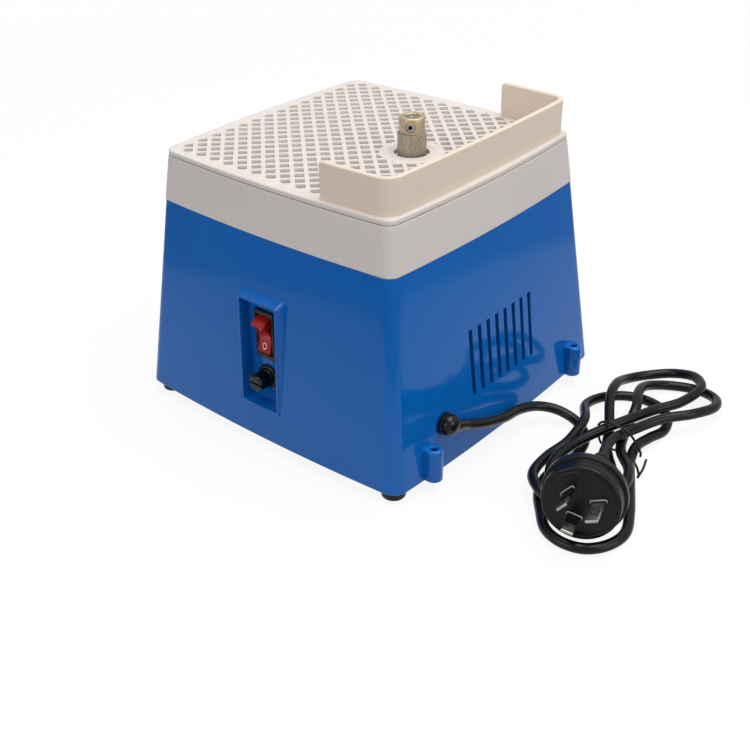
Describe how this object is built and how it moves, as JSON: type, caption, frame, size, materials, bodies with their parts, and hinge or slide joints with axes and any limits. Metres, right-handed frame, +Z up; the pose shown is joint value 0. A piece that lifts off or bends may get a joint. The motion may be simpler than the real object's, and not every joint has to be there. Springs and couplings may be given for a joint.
{
  "type": "stained glass grinder",
  "caption": "Benchtop stained-glass grinder: tapered blue motor housing, water tray, lattice worktop, splash guard, diamond head on a spindle, rocker switch, fuse, mains cord and plug.",
  "frame": {"origin": "centre of the grinder's footprint at the level its feet stand on, measured without the cord", "axes": "+Z up; +X towards the side with the switch and the fuse; +Y towards the back with the splash guard, vents, lugs and cord exit"},
  "size_m": [0.2183, 0.3119, 0.1778],
  "materials": {
    "housing_blue": "glossy",
    "tray_plastic": "satin",
    "worktop_plastic": "satin",
    "guard_plastic": "satin",
    "black_rubber": "matt",
    "cord_pvc": "satin",
    "plug_black": "satin",
    "tie_black": "matt",
    "pin_brass": "nickel plated",
    "steel_plate": "zinc plated",
    "screw_steel": "bright",
    "shaft_steel": "ground",
    "motor_steel": "painted",
    "cap_alloy": "cast",
    "magnet_ferrite": "matt",
    "core_iron": "laminated",
    "winding_copper": "enamelled",
    "brush_brass": "pressed",
    "brush_carbon": "matt",
    "inner_plastic": "matt",
    "head_brass": "satin",
    "diamond_grit": "gritty",
    "grub_steel": "blackened",
    "switch_black": "glossy",
    "rocker_red": "glossy",
    "fuse_glass": "clear",
    "fuse_metal": "nickel plated",
    "board_green": "lacquered",
    "capacitor_skin": "glossy",
    "block_nylon": "matt",
    "wire_brown": "satin",
    "wire_blue": "satin",
    "wire_green_yellow": "satin",
    "wire_red": "satin"
  },
  "bodies": {
    "base": {"housing_front": "housing_blue", "housing_rear": "housing_blue", "housing_left": "housing_blue", "housing_right_panels": "housing_blue", "housing_right_bridges": "housing_blue", "housing_deck": "housing_blue", "switch_recess": "housing_blue", "housing_posts": "housing_blue", "bottom_plate": "steel_plate", "rubber_feet": "black_rubber", "foot_screws": "screw_steel", "water_tray": "tray_plastic", "tray_seal": "black_rubber", "tray_screws": "screw_steel", "tray_washers": "black_rubber", "motor_bracket": "steel_plate", "motor_screws": "screw_steel", "motor_can": "motor_steel", "magnets": "magnet_ferrite", "upper_end_cap": "cap_alloy", "lower_end_cap": "cap_alloy", "end_cap_bolts": "screw_steel", "spindle_bearings": "shaft_steel", "brush_holders": "brush_brass", "carbon_brushes": "brush_carbon", "brush_springs": "screw_steel", "brush_caps": "inner_plastic", "switch_body": "switch_black", "fuse_holder": "switch_black", "fuse_nut": "inner_plastic", "circuit_board": "board_green", "bridge_rectifier": "inner_plastic", "board_capacitors": "capacitor_skin", "board_screws": "screw_steel", "terminal_block": "block_nylon", "live_wires": "wire_brown", "neutral_wires": "wire_blue", "earth_wire": "wire_green_yellow", "motor_leads": "wire_red", "strain_relief": "black_rubber", "power_cord": "cord_pvc", "plug_body": "plug_black", "plug_pins": "pin_brass", "pin_sleeves": "plug_black", "twist_tie": "tie_black"},
    "worktop": {"worktop": "worktop_plastic"},
    "guard": {"splash_guard": "guard_plastic"},
    "spindle": {"spindle_shaft": "shaft_steel", "armature_core": "core_iron", "armature_windings": "winding_copper", "commutator": "winding_copper", "cooling_fan": "inner_plastic", "water_slinger": "black_rubber"},
    "head": {"grinding_head": "head_brass", "diamond_sleeve": "diamond_grit", "set_screw": "grub_steel"},
    "rocker": {"rocker": "rocker_red"},
    "fuse": {"fuse_glass": "fuse_glass", "fuse_end_caps": "fuse_metal"},
    "fuse_cap": {"fuse_cap": "switch_black"}
  },
  "joints": [
    {"name": "spindle_turn", "type": "hinge", "parent": "base", "child": "spindle", "pos_m": [0, 0.0305, 0.15], "axis": [0, 0, 1], "continuous": true},
    {"name": "head_lift", "type": "slide", "parent": "spindle", "child": "head", "axis": [0, 0, 1], "range_m": [0, 0.03]},
    {"name": "worktop_lift", "type": "slide", "parent": "base", "child": "worktop", "axis": [0, 0, 1], "range_m": [0, 0.04]},
    {"name": "guard_lift", "type": "slide", "parent": "worktop", "child": "guard", "axis": [0, 0, 1], "range_m": [0, 0.03]},
    {"name": "rocker_press", "type": "hinge", "parent": "base", "child": "rocker", "pos_m": [0.09003, 0, 0.0702], "axis": [0, -1, 0], "range_deg": [0, 20]},
    {"name": "fuse_pull", "type": "slide", "parent": "base", "child": "fuse", "axis": [1, 0, 0], "range_m": [0, 0.03]},
    {"name": "fuse_cap_turn", "type": "hinge", "parent": "fuse", "child": "fuse_cap", "pos_m": [0.097, 0, 0.043], "axis": [1, 0, 0], "range_deg": [0, 60]}
  ]
}
